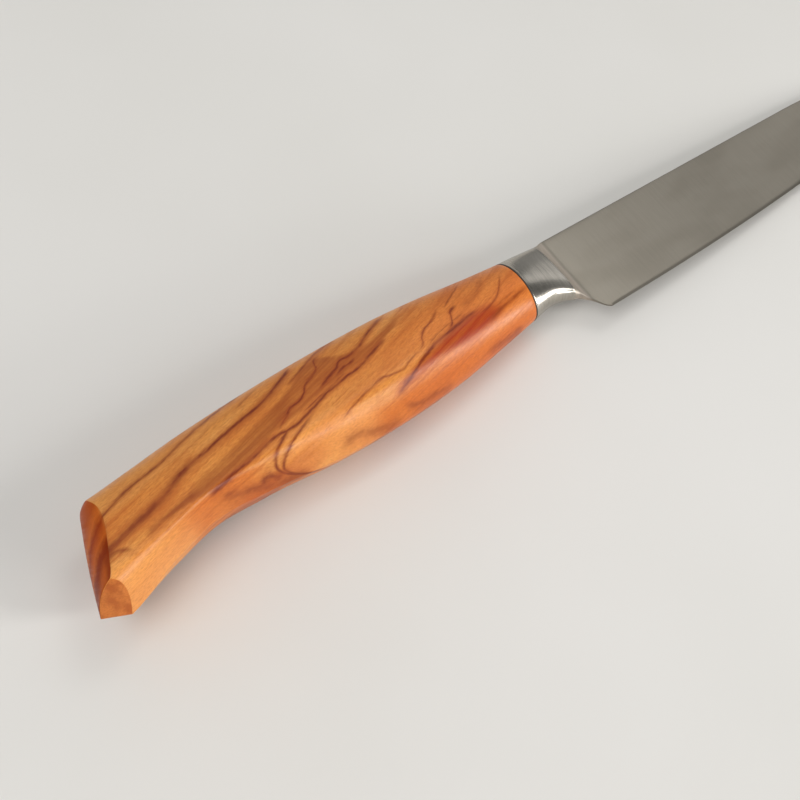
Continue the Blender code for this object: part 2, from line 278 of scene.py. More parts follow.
def handle_stations():
    """Share of the length, spine, height, half width and where down the height it is widest."""
    start, wide, slim, end = JOINT_WIDTH / 2, SWELL_WIDTH / 2, NECK_WIDTH / 2, POMMEL_WIDTH / 2
    joint, swell, neck, pommel = JOINT_HEIGHT, SWELL_HEIGHT, NECK_HEIGHT, POMMEL_HEIGHT
    crown, rise, low = JOINT_CROWN, SWELL_RISE, NECK_RISE
    return [
        (0.000, crown, joint, start, 0.50),
        (0.083, mix(crown, rise, 0.23), mix(joint, swell, 0.29), mix(start, wide, 0.44), 0.56),
        (0.205, mix(crown, rise, 0.74), mix(joint, swell, 0.75), mix(start, wide, 0.82), 0.62),
        (0.348, rise, swell, wide, 0.68),
        (0.490, mix(rise, low, 0.07), mix(swell, neck, 0.04), mix(wide, slim, 0.17), 0.73),
        (0.642, mix(rise, low, 0.48), mix(swell, neck, 0.65), mix(wide, slim, 0.80), 0.81),
        (0.742, low, neck, slim, 0.85),
        (0.834, mix(low, -POMMEL_DROP, 0.49), mix(neck, pommel, 0.25), mix(slim, end, 0.5), 0.857),
        (0.942, -POMMEL_DROP, pommel, end, 0.741),
        (1.080, -POMMEL_DROP * 1.08, pommel * 1.125, end, 0.605),
    ]


def quarter_angle(v, fullness):
    """Angle on a quarter of an oval that spaces points evenly whatever its fullness."""
    near, far = v ** (fullness / 2), (1 - v) ** (fullness / 2)
    return math.pi / 2 * near / (near + far)


def handle_surface(share, around):
    """Points on the wood: around runs 0 at the spine, 1 at the ridge and 2 at the keel."""
    shares, tops, heights, halves, widest = zip(*handle_stations())
    top, height, half, ridge = (
        smooth_curve(shares, values, share) for values in (tops, heights, halves, widest)
    )
    above = mix(2.0, 2.7, np.minimum(1.0, share / 0.3))
    below = mix(2.0, KEEL_FULLNESS, np.minimum(1.0, share / 0.6))
    middle = top - height * ridge
    upper = around <= 1
    angle = quarter_angle(np.where(upper, around, around - 1), np.where(upper, above, 1.6))
    cosine, sine = np.cos(angle).clip(0), np.sin(angle).clip(0)
    rise = np.where(upper, height * ridge * cosine ** (2 / above), -height * (1 - ridge) * sine)
    out = np.where(upper, sine ** (2 / above), cosine ** (2 / below))
    x = WOOD_FRONT - share * HANDLE_LENGTH
    return np.stack([x, middle + rise, half * out], axis=-1)


TOE = np.array([-BOLSTER_LENGTH - HANDLE_LENGTH, -TOE_DEPTH, 0.0])
BUTT_ALONG = np.array([math.sin(BUTT_LEAN), math.cos(BUTT_LEAN), 0.0])
BUTT_INWARD = np.array([math.cos(BUTT_LEAN), -math.sin(BUTT_LEAN), 0.0])
FACET = np.array([
    -math.sin(TOE_KEEL_RISE) * math.cos(TOE_FACET_LEAN),
    -math.cos(TOE_KEEL_RISE) * math.cos(TOE_FACET_LEAN),
    math.sin(TOE_FACET_LEAN),
])


def top_arc():
    """Where the arc between end face and spine starts, and how far up it runs."""
    rel = handle_surface(np.array([0.90, 0.94]), np.zeros(2)) - TOE
    up, inwards = rel @ BUTT_ALONG, rel @ BUTT_INWARD
    rise = (up[0] - up[1]) / (inwards[0] - inwards[1])
    turn = math.atan(1 / rise)
    reach = up[0] - rise * inwards[0]
    climb = BUTT_TOP_ROUNDING * math.sin(turn)
    return reach + rise * BUTT_TOP_ROUNDING * (1 - math.cos(turn)) - climb, climb


ARC_START, ARC_CLIMB = top_arc()


def butt_depth(up, z):
    """How far the crowned end face lies inwards of its leaning base line."""
    radius = mix(BUTT_TOE_RADIUS, BUTT_SPINE_RADIUS, up / TOE_DEPTH)
    crown = radius - np.sqrt((radius**2 - z**2).clip(0))
    bulge = BUTT_BULGE * np.sin(math.pi * np.clip(up / ARC_START, 0, 1))
    past = (up - ARC_START).clip(0, ARC_CLIMB)
    return crown - bulge + BUTT_TOP_ROUNDING - np.sqrt(BUTT_TOP_ROUNDING**2 - past**2)


def butt_gap(point):
    """Distance of a point inwards from the end face."""
    rel = point - TOE
    return rel @ BUTT_INWARD - butt_depth(rel @ BUTT_ALONG, point[..., 2])


def facet_gap(point):
    """Distance of a point beyond the toe facet of its own side."""
    mirrored = point * np.array([1, 1, 0]) + np.array([0, 0, 1]) * np.abs(point[..., 2:3])
    return (mirrored - TOE) @ FACET


def solve(value, low, high):
    """Bisects, for each point, to where a rising value passes zero."""
    low, high = (np.asarray(end, float) for end in (low, high))
    for _ in range(48):
        middle = (low + high) / 2
        over = value(middle) > 0
        high = np.where(over, middle, high)
        low = np.where(over, low, middle)
    return (low + high) / 2


def butt_share(around):
    """Share of the length at which long lines reach the end face."""
    gap = lambda share: -butt_gap(handle_surface(share, around))
    return solve(gap, 0.85 + 0 * around, 1.075 + 0 * around)


def move_nearest(values, place):
    """Moves the value that lies nearest to a place onto it."""
    values[int(np.argmin(np.abs(values - place)))] = place


def side_points(around, corner, nearest):
    """Rings of points on one side of the wood, from the joint to the rim of the end face."""
    steps = np.linspace(0, 1, HANDLE_RINGS + 1)[:, None]
    lines = np.repeat(around[None, :], HANDLE_RINGS + 1, axis=0)
    # the line nearest to the facet's corner on the rim is slid onto it over the last part
    lines[:, nearest] += (corner - around[nearest]) * ((steps[:, 0] - 0.7) / 0.3).clip(0) ** 2
    last = butt_share(lines[-1])
    share = steps * last
    # where a facet crosses a long line, the nearest ring point moves onto the crossing
    for j in range(nearest + 1, len(around)):
        over = lambda s: facet_gap(handle_surface(s, np.array(lines[-1, j])))
        move_nearest(share[:, j], float(solve(over, 0.80, last[j])))
    return handle_surface(share, lines)


def butt_points(rim, nearest):
    """Rings of points on the end face, from inside its rim to near its centre."""
    rim_up, rim_z = (rim - TOE) @ BUTT_ALONG, rim[:, 2]
    centre_up = TOE_DEPTH * 0.48

    def place(out, j):
        up, z = mix(centre_up, rim_up[j], out), rim_z[j] * out
        return TOE + BUTT_ALONG * up + BUTT_INWARD * butt_depth(up, z) + np.array([0, 0, 1]) * z

    rings = 1 - (np.arange(1, BUTT_RINGS + 1)[:, None] / (BUTT_RINGS + 0.6)) ** 1.3
    out = np.repeat(rings, len(rim), axis=1)
    for j in range(nearest + 1, len(rim)):
        over = lambda q: facet_gap(place(float(q), j)[None, :])[0]
        move_nearest(out[:, j], float(solve(over, 0.2, 1.0)))
    return np.array([[place(out[i, j], j) for j in range(len(rim))] for i in range(BUTT_RINGS)])


def handle_grid():
    """Places of the ring points of one side, and of the points on the end face inside the rim."""
    above, below = np.linspace(0, 1, SIDE_ABOVE + 1), np.linspace(0, 1, SIDE_BELOW + 1)
    around = np.concatenate([above, 1 + below[1:]])
    rim_over = lambda v: facet_gap(handle_surface(butt_share(v), v))
    corner = float(solve(rim_over, 1.0, 1.6))
    nearest = int(np.argmin(np.abs(around - corner)))
    side = side_points(around, corner, nearest)
    return side, butt_points(side[-1], nearest)


def shape_handle(bar):
    """Moves the stock's points onto the form of the wood, flat where it lies on its cheek."""
    side, inner = handle_grid()
    half = side.shape[1] - 1
    lies_flat = Vector((math.tan(REST_TURN), 0, 1))
    lies_flat.normalize()
    tip = Vector((BLADE_LENGTH, 0, TIP_THICKNESS / 2))
    mesh = edit_mesh(bar)
    for vertex in mesh.verts:
        turn, j = round_the_bar(vertex, half)
        out = math.hypot(vertex.co.y, vertex.co.z) / WOOD_STOCK_RADIUS
        if out > 1 - 1e-3:
            place = Vector(side[round(-vertex.co.x / HANDLE_LENGTH * HANDLE_RINGS), j])
        else:
            place = Vector(inner[round((1 - out) * (BUTT_RINGS + 1)) - 1, j])
        beyond = (place - tip).dot(lies_flat)
        if beyond > 0:
            place -= lies_flat * beyond
        vertex.co = (place.x, place.y, math.copysign(place.z, turn) if 0 < j < half else 0.0)
    bmesh.update_edit_mesh(bar.data)
    leave_edit()


def cut_facets(wood):
    edit_mesh(wood)
    for side in (1, -1):
        bpy.ops.mesh.select_all(action="SELECT")
        bpy.ops.mesh.bisect(
            plane_co=tuple(TOE),
            plane_no=(FACET[0], FACET[1], side * FACET[2]),
            use_fill=True,
            clear_outer=True,
            threshold=2e-6,
        )
    bpy.ops.mesh.select_all(action="SELECT")
    bpy.ops.mesh.remove_doubles(threshold=5e-6)
    leave_edit()


def ease_edges(wood):
    """Rounds the arrises as sanding does: the end of the handle more than the joint."""
    rear_half = WOOD_FRONT - 0.05

    def at_butt(edge):
        folded = len(edge.link_faces) == 2 and edge.calc_face_angle(0) > BUTT_FOLD
        return folded and all(v.co.x < rear_half for v in edge.verts)

    def at_joint(edge):
        on_rim = all(abs(v.co.x - WOOD_FRONT) < 1e-6 for v in edge.verts)
        return on_rim and edge.calc_face_angle(0) > JOINT_FOLD

    edit_mesh(wood)
    pick(wood, "EDGE", at_butt)
    ease(BUTT_EASING, 3, clamp=True)
    pick(wood, "EDGE", at_joint)
    ease(JOINT_EASING, 2, clamp=True)
    leave_edit()


def bore_handle(wood):
    bore = square_bar(
        "tang_bore",
        -BOLSTER_LENGTH / 2,
        -BOLSTER_LENGTH - TANG_LENGTH - BORE_WALL,
        TANG_HEIGHT / 2 + BORE_WALL,
        TANG_END_HEIGHT / 2 + BORE_WALL,
        TANG_THICKNESS / 2 + BORE_WALL,
    )
    combine(wood, bore, "DIFFERENCE")


def make_handle():
    points = 2 * (SIDE_ABOVE + SIDE_BELOW)
    wood = round_bar("wood_handle", points, HANDLE_RINGS, 0, -HANDLE_LENGTH, WOOD_STOCK_RADIUS)
    inset_end(wood, -HANDLE_LENGTH, BUTT_RINGS, WOOD_STOCK_RADIUS / (BUTT_RINGS + 1))
    shape_handle(wood)
    cut_facets(wood)
    ease_edges(wood)
    bore_handle(wood)
    smooth_faces(wood, WOOD_SMOOTHING)
    lay_down(wood)
    return wood


# Blade and bolster, one forging

# Steps along half a section: the flat of the spine, its corner, the flank and the foot
TOP_FLAT, TOP_CORNER, FLANK, FOOT = 6, 8, 30, 8
HALF_POINTS = TOP_FLAT + TOP_CORNER + FLANK + FOOT + 1


def spine_line(x):
    past = max(0.0, x - (BLADE_LENGTH - SPINE_DROP_LENGTH)) / SPINE_DROP_LENGTH
    step = min(1.0, max(0.0, -x / (RAMP_LENGTH * 0.7)))
    return -TIP_DROP * past**2 - SPINE_STEP * step**2 * (3 - 2 * step)


def edge_line(x):
    along = max(0.0, x - HEEL_SETBACK) / (BLADE_LENGTH - HEEL_SETBACK)
    sweep = max(0.0, x - (BLADE_LENGTH - BELLY_LENGTH)) / BELLY_LENGTH
    tip_rise = BLADE_HEIGHT - TIP_DROP - EDGE_RISE
    return -BLADE_HEIGHT + EDGE_RISE * along**2.2 + tip_rise * sweep**2.5


def choil_line(x):
    """The ground underside behind the heel, from the bolster down to the edge."""
    shares = [-0.71, -0.42, -0.23, 0.26, 0.68, 1.0]
    depths = [BOLSTER_FRONT_DEPTH / BLADE_HEIGHT, 0.729, 0.766, 0.865, 0.969, 1.004]
    return -BLADE_HEIGHT * float(smooth_curve(shares, depths, x / HEEL_SETBACK))


def blade_half(x):
    """Half a section of the blade, spine to edge, as (y, z)."""
    top = spine_line(x)
    ground = x < HEEL_SETBACK
    bottom = choil_line(x) if ground else top - max(top - edge_line(x), TIP_HEIGHT)
    height = top - bottom
    thickness = mix(SPINE_THICKNESS, TIP_THICKNESS, max(0.0, x) / BLADE_LENGTH)
    rounding = min(SPINE_ROUNDING, height * 0.2)
    bevel = min(EDGE_BEVEL_HEIGHT, height * 0.4)
    points = [(top, s * (thickness / 2 - rounding)) for s in np.linspace(0, 1, TOP_FLAT + 1)]
    for turn in np.linspace(0, math.pi / 2, TOP_CORNER + 1)[1:]:
        out, fall = rounding * math.sin(turn), rounding * (1 - math.cos(turn))
        points.append((top - fall, thickness / 2 - rounding + out))
    if ground:
        shoulder = bottom + CHOIL_CORNER_HEIGHT
        down = (top - shoulder) / (BLADE_HEIGHT - EDGE_BEVEL_HEIGHT)
        shoulder_half = mix(thickness, EDGE_THICKNESS, down) / 2
        land_half = shoulder_half - CHOIL_CORNER_WIDTH
    else:
        shoulder = bottom + bevel
        shoulder_half = mix(EDGE_THICKNESS, thickness, 0.35 * (1 - height / BLADE_HEIGHT)) / 2
        land_half = EDGE_LAND / 2
    for s in np.linspace(0, 1, FLANK + 1)[1:]:
        points.append((mix(top - rounding, shoulder, s), mix(thickness / 2, shoulder_half, s)))
    for s in np.linspace(0, 1, FOOT + 1)[1:]:
        points.append((mix(shoulder, bottom, s), mix(shoulder_half, land_half, s)))
    points.append((bottom, 0.0))
    return np.array(points)


def bolster_half(x):
    """Half a section of the bolster, spine to underside, with the same points as the blade."""
    rear, front = -BOLSTER_LENGTH, -RAMP_LENGTH
    share = min(1.0, (x - rear) / (front - rear))
    knots = [rear, rear / 2, front, RAMP_RUNOUT]
    depths = [JOINT_HEIGHT - JOINT_CROWN, BOLSTER_WAIST_DEPTH, BOLSTER_FRONT_DEPTH, RAMP_FOOT_DEPTH]
    top = mix(JOINT_CROWN, -SPINE_STEP, share) if x < front else spine_line(x)
    bottom = -float(smooth_curve(knots, depths, x)) if x < front else choil_line(x)
    half = mix(JOINT_WIDTH, BOLSTER_FRONT_WIDTH, share**0.8) / 2
    full = mix(2.0, 3.2, share)
    turns = np.concatenate([
        np.linspace(0, 32, TOP_FLAT + 1),
        np.linspace(32, 56, TOP_CORNER + 1)[1:],
        np.linspace(56, 134, FLANK + 1)[1:],
        np.linspace(134, 174, FOOT + 1)[1:],
        [180],
    ])
    angle = np.radians(turns)
    cosine, sine = np.cos(angle), np.sin(angle).clip(0)
    y = (top + bottom) / 2 + (top - bottom) / 2 * np.sign(cosine) * np.abs(cosine) ** (2 / full)
    return np.stack([y, half * sine ** (2 / full)], axis=-1)


def forging_half(x):
    """Half a section anywhere along the forging; on the ramp, bolster and blade run together."""
    if x <= -RAMP_LENGTH:
        return bolster_half(x)
    if x >= RAMP_RUNOUT:
        return blade_half(x)
    down = (x + RAMP_LENGTH) / (RAMP_RUNOUT + RAMP_LENGTH)
    return mix(blade_half(x), bolster_half(x), (1 - down) ** 2.2)


def forging_stations():
    """Places of the sections: close at the ramp and the heel, and closer again to the tip."""
    blade = HEEL_SETBACK + (BLADE_LENGTH - HEEL_SETBACK) * (1 - (1 - np.linspace(0, 1, 71)) ** 1.5)
    return np.concatenate([
        np.linspace(-BOLSTER_LENGTH, -RAMP_LENGTH, 26),
        np.linspace(-RAMP_LENGTH, RAMP_RUNOUT, 16)[1:],
        np.linspace(RAMP_RUNOUT, HEEL_SETBACK - 0.00004, 10)[1:],
        blade,
    ])


def shape_forging(bar):
    """Moves the stock's points onto the sections of blade, ramp and bolster."""
    stations = forging_stations()
    rings = len(stations) - 1
    places = np.array([forging_half(x) for x in stations])
    mesh = edit_mesh(bar)
    for vertex in mesh.verts:
        turn, j = round_the_bar(vertex, HALF_POINTS)
        ring = round(vertex.co.x / STEEL_STOCK_LENGTH * rings)
        y, z = places[ring, j]
        vertex.co = (stations[ring], y, math.copysign(z, turn) if 0 < j < HALF_POINTS else 0.0)
    bmesh.update_edit_mesh(bar.data)
    leave_edit()


def make_tang():
    """A tapered bar divided along its length, with notches pressed into its long edges."""
    rear, front = -BOLSTER_LENGTH - TANG_LENGTH, -BOLSTER_LENGTH * 0.6
    tang = square_bar("tang", front, rear, TANG_HEIGHT / 2, TANG_END_HEIGHT / 2, TANG_THICKNESS / 2)
    edit_mesh(tang)
    for notch in range(1, TANG_NOTCHES + 1):
        centre = -BOLSTER_LENGTH - notch * TANG_LENGTH / (TANG_NOTCHES + 1)
        for x in (centre - TANG_NOTCH_LENGTH / 2, centre, centre + TANG_NOTCH_LENGTH / 2):
            bpy.ops.mesh.select_all(action="SELECT")
            bpy.ops.mesh.bisect(plane_co=(x, 0, 0), plane_no=(1, 0, 0))
        bpy.ops.mesh.select_mode(type="VERT")
        for side in (1, -1):
            bpy.ops.mesh.select_all(action="DESELECT")
            mesh = bmesh.from_edit_mesh(tang.data)
            for vertex in mesh.verts:
                off_middle = (vertex.co.y - JOINT_MIDDLE) * side > 0
                vertex.select = abs(vertex.co.x - centre) < 1e-6 and off_middle
            mesh.select_flush(True)
            bmesh.update_edit_mesh(tang.data)
            bpy.ops.transform.translate(value=(0, -side * TANG_NOTCH_DEPTH, 0))
    leave_edit()
    return tang


def make_forging():
    rings = len(forging_stations()) - 1
    steel = round_bar(
        "steel_forging", 2 * HALF_POINTS, rings, 0, STEEL_STOCK_LENGTH, STEEL_STOCK_RADIUS
    )
    shape_forging(steel)
    edit_mesh(steel)
    for place, easing in ((-RAMP_LENGTH, RAMP_EASING), (-BOLSTER_LENGTH, BOLSTER_EASING)):
        pick(steel, "EDGE", lambda edge: all(abs(v.co.x - place) < 1e-7 for v in edge.verts))
        ease(easing, 2)
    leave_edit()
    combine(steel, make_tang(), "UNION")
    smooth_faces(steel, STEEL_SMOOTHING)
    lay_down(steel)
    return steel


# Finishes

MILLIMETRES = 1000.0  # in a metre


def srgb(red, green, blue):
    """A colour as it is seen on screen, 0 to 255, as the linear colour that a shader takes."""
    linear = [
        c / 12.92 if c <= 0.04045 else ((c + 0.055) / 1.055) ** 2.4
        for c in (red / 255, green / 255, blue / 255)
    ]
    return (*linear, 1.0)


class Finish:
    """A material on a Principled shader, with short calls for the nodes that feed it."""

    def __init__(self, name):
        self.material = bpy.data.materials.new(name)
        self.material.use_nodes = True
        self.tree = self.material.node_tree
        self.shader = self.tree.nodes["Principled BSDF"]

    def node(self, kind, **settings):
        node = self.tree.nodes.new(kind)
        for name, value in settings.items():
            setattr(node, name, value)
        return node

    def plug(self, value, socket):
        if isinstance(value, bpy.types.NodeSocket):
            self.tree.links.new(value, socket)
        else:
            socket.default_value = value

    def feed(self, node, **values):
        """Plugs values into the sockets of a node that bear their names."""
        for name, value in values.items():
            self.plug(value, node.inputs[name.replace("_", " ")])
        return node.outputs[0]

    def sum(self, operation, *values):
        node = self.node("ShaderNodeMath", operation=operation)
        for value, socket in zip(values, node.inputs):
            self.plug(value, socket)
        return node.outputs[0]

    def times(self, first, second):
        return self.sum("MULTIPLY", first, second)

    def larger(self, first, second):
        return self.sum("MAXIMUM", first, second)

    def sway(self, value, noise, amount):
        """Moves a value up and down with a noise."""
        return self.sum("MULTIPLY_ADD", self.sum("SUBTRACT", noise, 0.5), amount, value)

    def knife_space(self, turn=0.0):
        """Object coordinates stood back up straight, in millimetres, then turned about Z."""
        coordinate = self.node("ShaderNodeTexCoord").outputs["Object"]
        turning = Matrix.Rotation(-turn, 3, "Z") @ Matrix.Rotation(-REST_TURN, 3, "Y")
        return self.feed(
            self.node("ShaderNodeMapping", vector_type="POINT"),
            Vector=coordinate,
            Location=turning @ (-REST_PLACE * MILLIMETRES),
            Rotation=(0, -REST_TURN, -turn),
            Scale=(MILLIMETRES, MILLIMETRES, MILLIMETRES),
        )

    def split(self, vector):
        node = self.node("ShaderNodeSeparateXYZ")
        self.plug(vector, node.inputs[0])
        return node.outputs

    def join(self, x, y, z):
        node = self.node("ShaderNodeCombineXYZ")
        for value, socket in zip((x, y, z), node.inputs):
            self.plug(value, socket)
        return node.outputs[0]

    def noise(self, vector, detail=3.0, roughness=0.5):
        node = self.node("ShaderNodeTexNoise", noise_dimensions="3D")
        return self.feed(node, Vector=vector, Scale=1.0, Detail=detail, Roughness=roughness)

    def drawn_noise(self, vector, scales, offset=(0, 0, 0), detail=3.0, roughness=0.5):
        """Noise with its own scale along each axis."""
        mapping = self.node("ShaderNodeMapping", vector_type="POINT")
        drawn = self.feed(mapping, Vector=vector, Scale=scales, Location=offset)
        return self.noise(drawn, detail, roughness)

    def span(self, value, low, high, to_low=0.0, to_high=1.0, smooth=True):
        """Maps a range to another, held at its ends."""
        node = self.node("ShaderNodeMapRange", clamp=True)
        node.interpolation_type = "SMOOTHSTEP" if smooth else "LINEAR"
        return self.feed(
            node, Value=value, From_Min=low, From_Max=high, To_Min=to_low, To_Max=to_high
        )

    def between(self, value, first, last, run):
        """1 between two places, falling to 0 at each over a run."""
        return self.times(self.span(value, first, first + run), self.span(value, last, last - run))

    def curve(self, along, points):
        """The level, in millimetres, of a line through (along, level) points."""
        node = self.node("ShaderNodeFloatCurve")
        self.plug(self.span(along, *GRAIN_ALONG, smooth=False), node.inputs["Value"])
        line = node.mapping.curves[0]
        for index, (place, level) in enumerate(sorted(points)):
            at = (place - GRAIN_ALONG[0]) / (GRAIN_ALONG[1] - GRAIN_ALONG[0])
            height = (level - GRAIN_LEVEL[0]) / (GRAIN_LEVEL[1] - GRAIN_LEVEL[0])
            if index < 2:
                line.points[index].location = (at, height)
            else:
                line.points.new(at, height)
        node.mapping.extend = "HORIZONTAL"
        node.mapping.update()
        return self.span(node.outputs[0], 0.0, 1.0, *GRAIN_LEVEL, smooth=False)

    def ramp(self, value, stops):
        """Stops of (position, grey) or (position, colour), in rising order."""
        node = self.node("ShaderNodeValToRGB")
        self.plug(value, node.inputs[0])
        elements = node.color_ramp.elements
        while len(elements) > 1:
            elements.remove(elements[-1])
        for index, (position, colour) in enumerate(stops):
            element = elements[0] if index == 0 else elements.new(position)
            element.position = position
            element.color = colour if isinstance(colour, tuple) else (colour, colour, colour, 1)
        return node.outputs[0]

    def blend(self, share, first, second):
        node = self.node("ShaderNodeMix", data_type="RGBA")
        colours = [socket for socket in node.inputs if socket.type == "RGBA"]
        self.plug(share, node.inputs[0])
        self.plug(first, colours[0])
        self.plug(second, colours[1])
        return [socket for socket in node.outputs if socket.type == "RGBA"][0]

    def facing(self, normal, direction):
        """How far the surface faces a direction: 1 when it faces it squarely."""
        node = self.node("ShaderNodeVectorMath", operation="DOT_PRODUCT")
        self.plug(normal, node.inputs[0])
        node.inputs[1].default_value = tuple(direction)
        return node.outputs["Value"]

    def bump(self, height, distance, strength):
        node = self.node("ShaderNodeBump")
        self.set(Normal=self.feed(node, Strength=strength, Distance=distance, Height=height))

    def set(self, **values):
        self.feed(self.shader, **values)


# The grain climbs towards the butt. Points are in millimetres: along the grain from the blade's
# root, and level across its layers.
GRAIN_CLIMB = math.radians(15)
GRAIN_ALONG = (-115.0, -5.0)
GRAIN_LEVEL = (-15.0, 25.0)

# Dark veins: their line, half width, strength and how far a brown shade reaches below them
VEINS = [
    ([(-106, 19.0), (-100, 19.1), (-95, 19.6), (-87, 19.2), (-81, 19.6), (-66, 19.4)], 0.33, 0.75, 0.8),
    ([(-72, 16.9), (-69, 17.3), (-65, 17.6)], 0.25, 0.35, 0.4),
    ([(-110, 13.6), (-98, 13.9), (-92, 14.1), (-86, 15.1), (-82, 14.9)], 0.90, 0.80, 1.4),
    ([(-90, 14.5), (-86, 15.1), (-82, 14.9), (-75, 14.7), (-69, 14.3), (-62, 15.1), (-58, 16.2)],
     0.42, 0.95, 1.8),
    ([(-63, 13.2), (-58.4, 13.7), (-55, 14.3), (-52, 14.6), (-48, 13.9)], 0.28, 0.70, 1.2),
    ([(-87.5, 9.0), (-82, 8.5), (-76.5, 8.0), (-73, 8.0), (-71, 7.7), (-69.3, 7.1), (-66, 6.7)],
     0.38, 0.90, 0.5),
    ([(-70, 7.3), (-67.5, 6.7), (-60, 6.8), (-55, 6.5), (-51, 6.0), (-47, 6.3), (-43, 6.5)],
     0.36, 0.92, 0.3),
    ([(-66, 7.4), (-62, 7.3), (-58, 7.2), (-53, 7.0)], 0.18, 0.60, 0.2),
    ([(-60, 8.2), (-56.4, 8.8), (-54.3, 9.0), (-52.4, 9.6), (-51, 9.1), (-47.8, 9.1), (-44, 9.9),
      (-38, 10.8)],
     0.34, 0.90, 1.2),
    ([(-71, 8.3), (-67.5, 9.0), (-65.7, 9.6), (-63.8, 9.4), (-62.2, 9.8), (-60.7, 10.7), (-57, 11.4),
      (-56, 12.2), (-55.2, 13.3), (-53, 13.7)], 0.28, 0.90, 0.5),
    ([(-56, 7.7), (-53.5, 8.1), (-51.5, 7.8), (-50, 8.2)], 0.28, 0.75, 0.3),
    ([(-62, 1.7), (-54, 1.8), (-51, 1.6), (-49, 0.8), (-46.5, 0.0), (-43, 0.3), (-41, 0.2)],
     0.22, 0.55, 0.6),
    ([(-42, 0.2), (-39.6, 0.8), (-38.8, 1.7), (-37, 2.4), (-35, 2.6), (-33, 3.1), (-31, 4.2)],
     0.24, 0.75, 0.5),
    ([(-31, 2.9), (-27.8, 3.4), (-25.5, 4.0), (-22, 4.9)], 0.20, 0.60, 0.4),
    ([(-28, 1.6), (-30, 1.5), (-31.4, 0.4), (-32.3, -0.5), (-34, -0.9)], 0.30, 0.85, 0.4),
    ([(-51, -2.2), (-45.3, -1.7), (-42.6, -1.4), (-37.7, -1.0), (-32, -1.4), (-26, -1.9)],
     0.40, 0.90, 0.8),
    ([(-40, -0.2), (-35, 0.0), (-31, -0.3), (-28, -0.4)], 0.18, 0.45, 0.4),
    ([(-27, -2.6), (-24, -3.2), (-22, -3.0), (-20, -2.5), (-18, -1.4), (-15, 0.4)], 0.24, 0.55, 0.6),
    ([(-27, -5.1), (-23, -4.9), (-19, -5.1), (-13, -5.3)], 0.45, 0.60, 0.3),
    ([(-24, -4.0), (-20, -4.1), (-16, -4.3)], 0.22, 0.40, 0.3),
    ([(-29, 0.6), (-24, 0.6), (-21.6, 1.1), (-18, 2.6)], 0.60, 0.28, 0.8),
    ([(-86, 8.2), (-80, 5.9), (-76.6, 4.3), (-73, 2.8), (-69, 1.2)], 0.36, 0.50, 1.0),
    ([(-79, 5.2), (-76.4, 4.9), (-75, 4.1), (-73.5, 3.6)], 0.40, 0.70, 0.8),
    ([(-50.5, -3.2), (-49, -4.2), (-47, -5.0), (-43, -6.0), (-38, -7.2)], 0.34, 0.45, 0.9),
    ([(-64, -0.3), (-60.5, -0.9), (-58, -2.0), (-54, -3.6), (-50, -4.9)], 0.50, 0.40, 1.4),
    ([(-30, -7.8), (-25, -8.5), (-18, -9.4)], 0.28, 0.45, 0.5),
    ([(-106.6, 12.9), (-104.6, 13.0), (-103.2, 12.3), (-102.1, 11.3), (-101.5, 9.9)], 0.70, 0.70, 0.6),
    ([(-99.5, 11.0), (-96, 11.2), (-93.8, 11.1), (-91.6, 11.0), (-87, 10.7)], 0.70, 0.50, 1.2),
]

# Zones of another shade: lower line, upper line, softness, strength and colour. First come two
# pale zones of painted light, on the heel and on the belly, then paler wood near the spine, then brown
# bands, then the redder heart near the bolster.
ZONES = [
    # painted light: a pale pool where light falls on the heel of the handle
    ([(-114, -6.0), (-100, -2.0), (-88, 3.0)], [(-114, 12.0), (-100, 10.5), (-88, 8.0)],
     2.5, 0.65, (242, 166, 92)),
    # painted light: a pale pool where light falls on the belly
    ([(-75, 0.0), (-68, -3.0), (-60, -5.0), (-53, -6.0)],
     [(-75, 6.0), (-66, 6.0), (-58, 2.5), (-53, 0.5)],
     2.0, 0.60, (240, 160, 86)),
    ([(-114, 16.5), (-90, 17.0), (-60, 16.5)], [(-114, 24.0), (-90, 24.0), (-60, 24.0)],
     1.5, 0.30, (226, 160, 84)),
    ([(-86, 5.0), (-78, 3.2), (-72, 0.5), (-66, -1.5)],
     [(-86, 6.8), (-78, 5.8), (-72, 3.2), (-66, 1.0)],
     1.0, 0.45, (184, 80, 26)),
    ([(-99, 10.9), (-92, 10.2), (-88, 9.1), (-84, 8.2), (-76, 7.9), (-70, 8.4), (-62, 8.8)],
     [(-99, 11.2), (-93, 11.3), (-90, 11.0), (-88, 12.0), (-80, 11.9), (-62, 12.2)],
     0.8, 0.78, (152, 76, 20)),
    ([(-72, 8.1), (-64, 7.4), (-56, 7.0), (-50, 6.2), (-40, 6.6), (-36, 7.4)],
     [(-72, 11.4), (-64, 12.4), (-56, 13.8), (-52, 11.0), (-48, 8.6), (-36, 9.4)],
     0.8, 0.75, (156, 74, 20)),
    ([(-53, -2.4), (-45, -3.2), (-38, -4.2), (-33, -5.4), (-26, -6.2), (-20, -5.6)],
     [(-53, -1.6), (-40, -1.2), (-33, -0.9), (-27, -1.6), (-20, -3.8)],
     1.5, 1.0, (156, 46, 6)),
    ([(-50, -7.2), (-40, -8.6), (-28, -10.6), (-18, -11.4)],
     [(-50, -5.4), (-40, -6.6), (-28, -7.8), (-18, -8.4)],
     1.5, 0.40, (176, 62, 14)),
]

# Veins that turn back in a loop: where they turn along the grain, the level where the upper arm
# starts and its bend, the place across where the lower arm starts and its bend, half width, strength
LOOP_VEINS = [
    (-74.8, 4.8, 1.00, 4.9, 0.20, 0.38, 0.85),
    (-73.7, 4.0, 2.60, 4.0, 0.25, 0.32, 0.80),
]

# Reach of a vein's dark core and of the shade beside it, in half widths, and the stretch over
# which a zone fades at its ends
VEIN_CORE = 1.25
VEIN_HALO = 2.6
ZONE_FADE = 5.0


